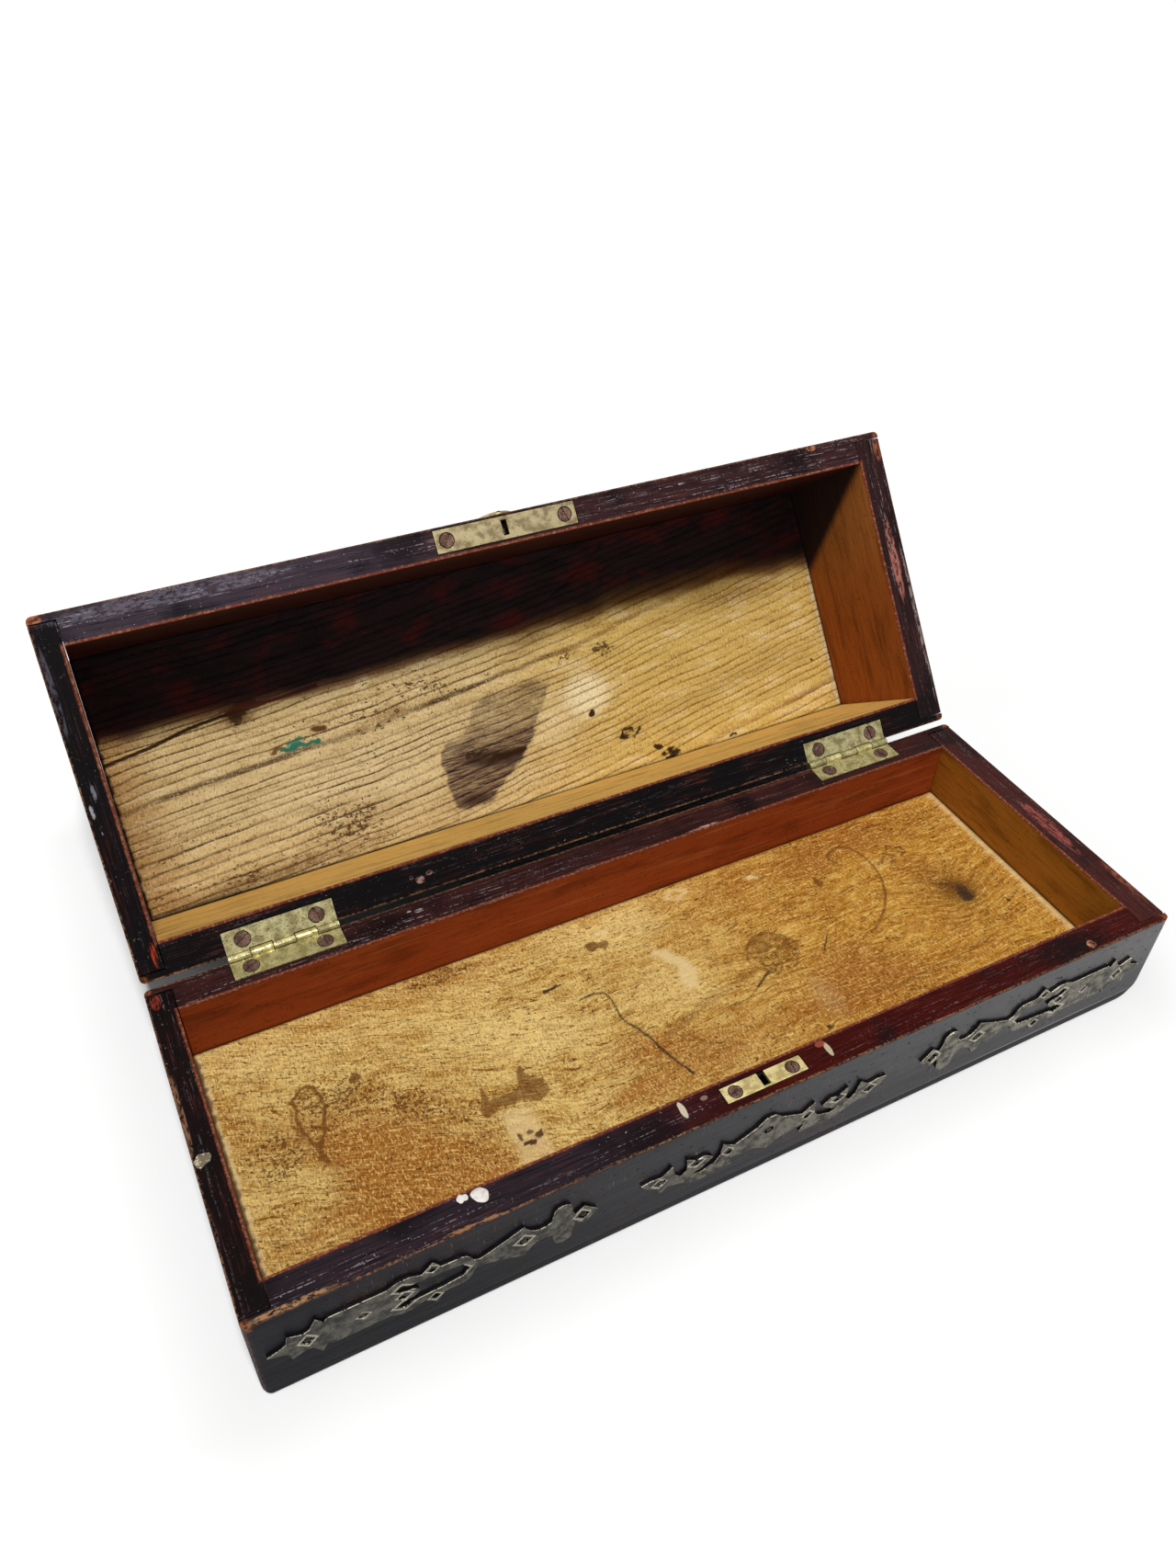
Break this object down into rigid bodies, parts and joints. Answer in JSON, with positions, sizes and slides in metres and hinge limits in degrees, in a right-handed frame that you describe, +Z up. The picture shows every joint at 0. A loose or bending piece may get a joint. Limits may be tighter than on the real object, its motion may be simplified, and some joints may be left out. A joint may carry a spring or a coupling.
{
  "type": "wooden tool box",
  "caption": "Long wooden tool box of two trays on butt hinges, one with a mortise lock in its rim, the other with pierced brass mounts, shown open on a table.",
  "frame": {"origin": "middle of the shallow tray's underside, on the table", "axes": "+X along the length, -Y to the front with the brass mounts, +Z up from the table"},
  "size_m": [0.33, 0.2557, 0.1397],
  "materials": {
    "dark_wood": "ebonised, worn through to red brown inside",
    "floor_wood": "waxed, stained",
    "pine": "bare, stained",
    "hinge_brass": "worn, specked",
    "hinge_pin_steel": "dull",
    "mount_brass": "tarnished",
    "lock_brass": "tarnished",
    "keyhole_brass": "worn",
    "lock_iron": "rusty",
    "screw_iron": "rusty",
    "brad_iron": "dark"
  },
  "bodies": {
    "lower": {"centre_mount": "mount_brass", "centre_mount_brad_1": "brad_iron", "centre_mount_brad_2": "brad_iron", "centre_mount_brad_3": "brad_iron", "left_hinge_lower_leaf": "hinge_brass", "left_hinge_lower_screw_1": "screw_iron", "left_hinge_lower_screw_2": "screw_iron", "left_hinge_pin": "hinge_pin_steel", "left_strap": "mount_brass", "left_strap_brad_1": "brad_iron", "left_strap_brad_2": "brad_iron", "left_strap_brad_3": "brad_iron", "left_strap_brad_4": "brad_iron", "link_plate": "lock_brass", "link_screw_1": "screw_iron", "link_screw_2": "screw_iron", "lower_back": "dark_wood", "lower_board": "floor_wood", "lower_front": "dark_wood", "lower_left_end": "dark_wood", "lower_right_end": "dark_wood", "right_hinge_lower_leaf": "hinge_brass", "right_hinge_lower_screw_1": "screw_iron", "right_hinge_lower_screw_2": "screw_iron", "right_hinge_pin": "hinge_pin_steel", "right_strap": "mount_brass", "right_strap_brad_1": "brad_iron", "right_strap_brad_2": "brad_iron", "right_strap_brad_3": "brad_iron", "right_strap_brad_4": "brad_iron"},
    "upper": {"keyhole_plate": "keyhole_brass", "keyhole_plate_brad_1": "brad_iron", "keyhole_plate_brad_2": "brad_iron", "left_hinge_upper_leaf": "hinge_brass", "left_hinge_upper_screw_1": "screw_iron", "left_hinge_upper_screw_2": "screw_iron", "lock_cap": "lock_iron", "lock_key_post": "lock_iron", "lock_plate": "lock_brass", "lock_screw_1": "screw_iron", "lock_screw_2": "screw_iron", "lock_spring": "lock_iron", "right_hinge_upper_leaf": "hinge_brass", "right_hinge_upper_screw_1": "screw_iron", "right_hinge_upper_screw_2": "screw_iron", "upper_back": "dark_wood", "upper_board": "pine", "upper_front": "dark_wood", "upper_left_end": "dark_wood", "upper_right_end": "dark_wood"},
    "bolt": {"lock_bolt": "lock_iron"}
  },
  "joints": [
    {"name": "tray_hinge", "type": "hinge", "parent": "lower", "child": "upper", "pos_m": [0, 0.0622, 0.0421], "axis": [1, 0, 0], "range_deg": [0, 127.5]},
    {"name": "lock_bolt_slide", "type": "slide", "parent": "upper", "child": "bolt", "axis": [1, 0, 0], "range_m": [0, 0.0044]}
  ]
}
